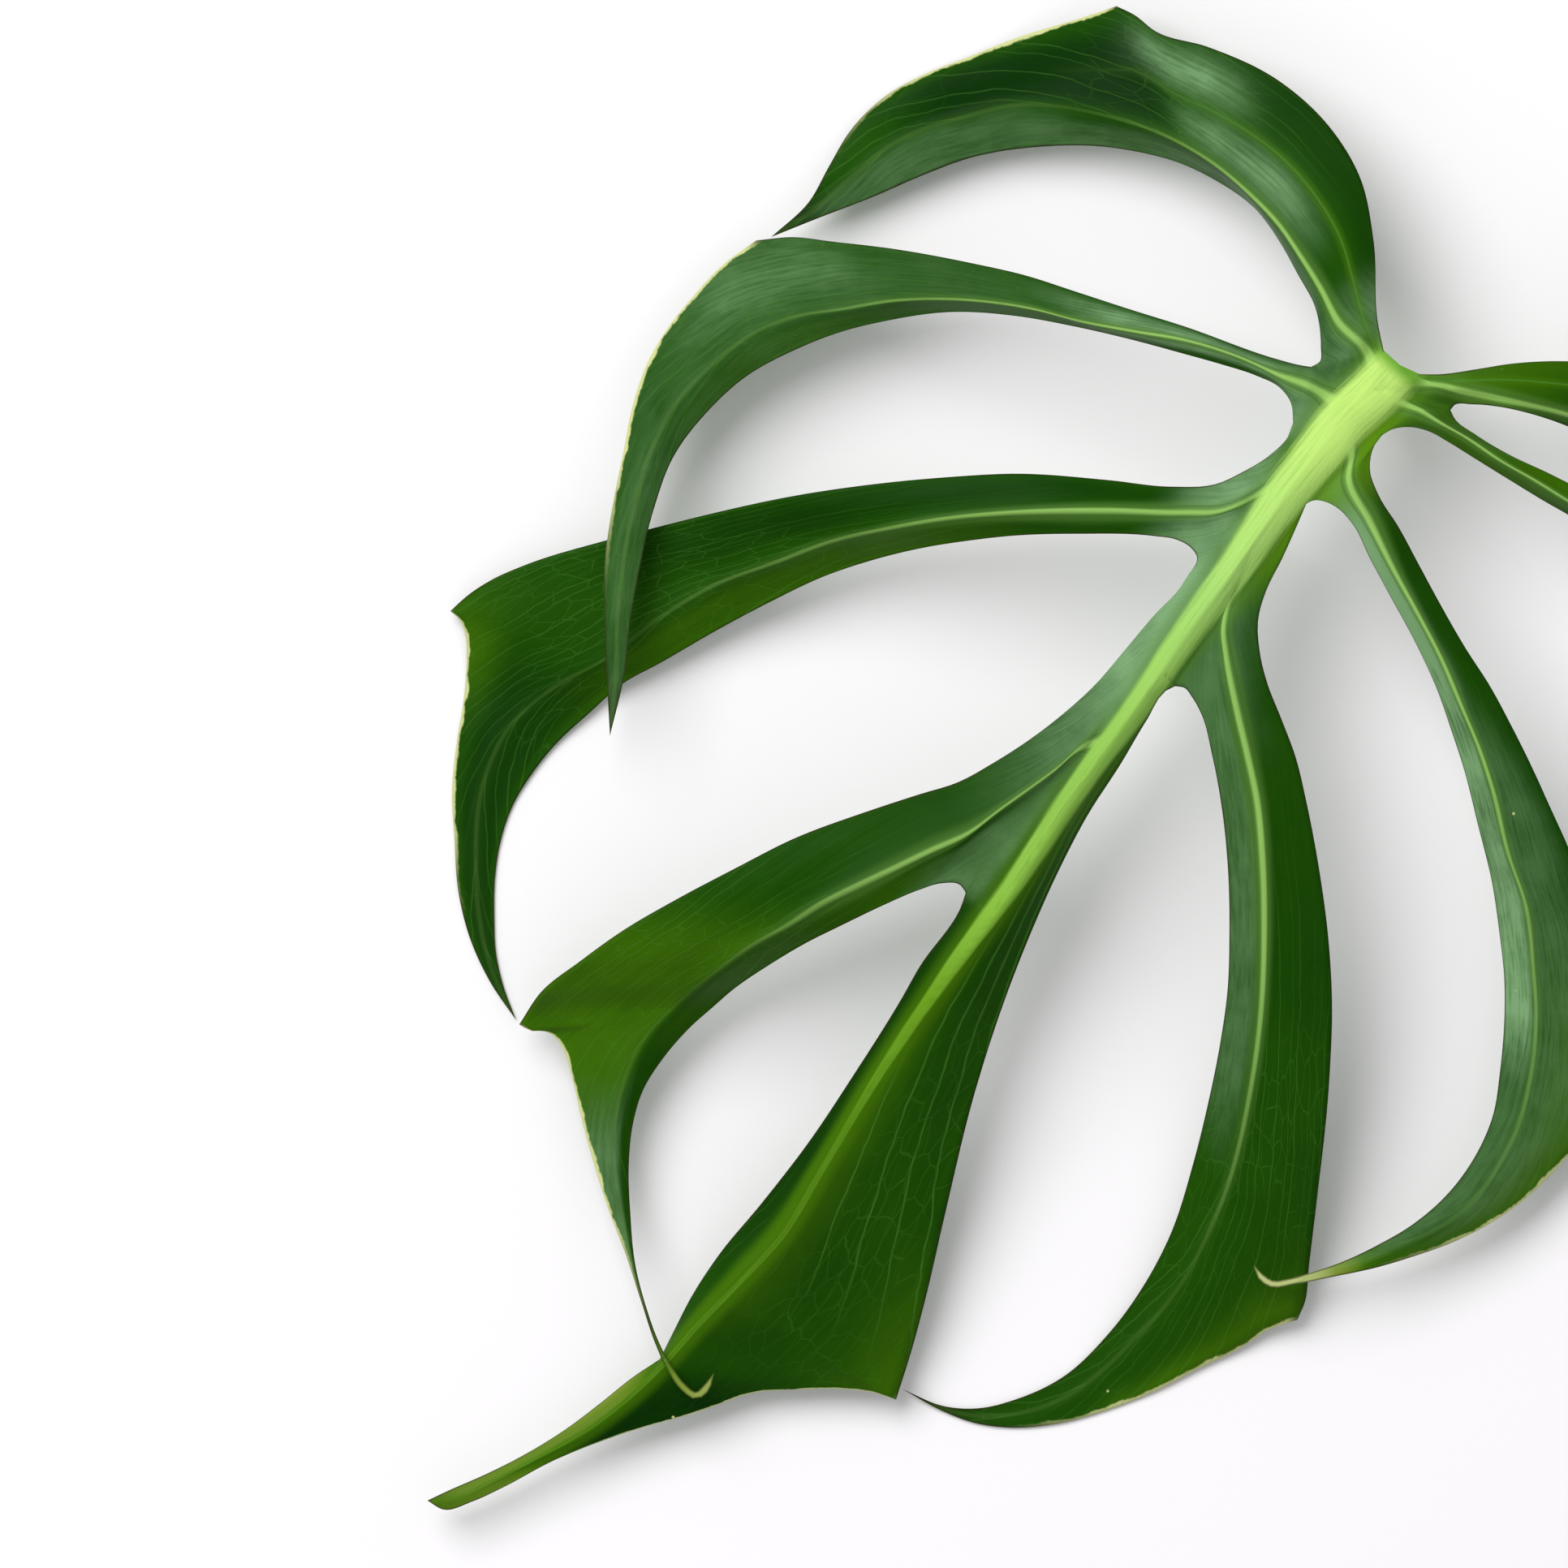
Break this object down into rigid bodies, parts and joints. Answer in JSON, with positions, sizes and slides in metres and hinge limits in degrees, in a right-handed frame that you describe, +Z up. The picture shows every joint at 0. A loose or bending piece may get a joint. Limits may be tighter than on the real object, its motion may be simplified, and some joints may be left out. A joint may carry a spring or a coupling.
{
  "type": "monstera leaf",
  "caption": "Picked monstera leaf lying upper side up, with deeply cut curling lobes, an end lobe, a raised midrib and a short cut stub of stalk.",
  "frame": {"origin": "on the surface the leaf lies on, in the middle of its outline", "axes": "+Z up out of the upper side, +Y along the midrib towards the stalk, +X to the right"},
  "size_m": [0.278, 0.368, 0.041],
  "materials": {
    "leaf": "waxy satin"
  },
  "bodies": {
    "root": {"monstera_leaf": "leaf"}
  },
  "joints": []
}
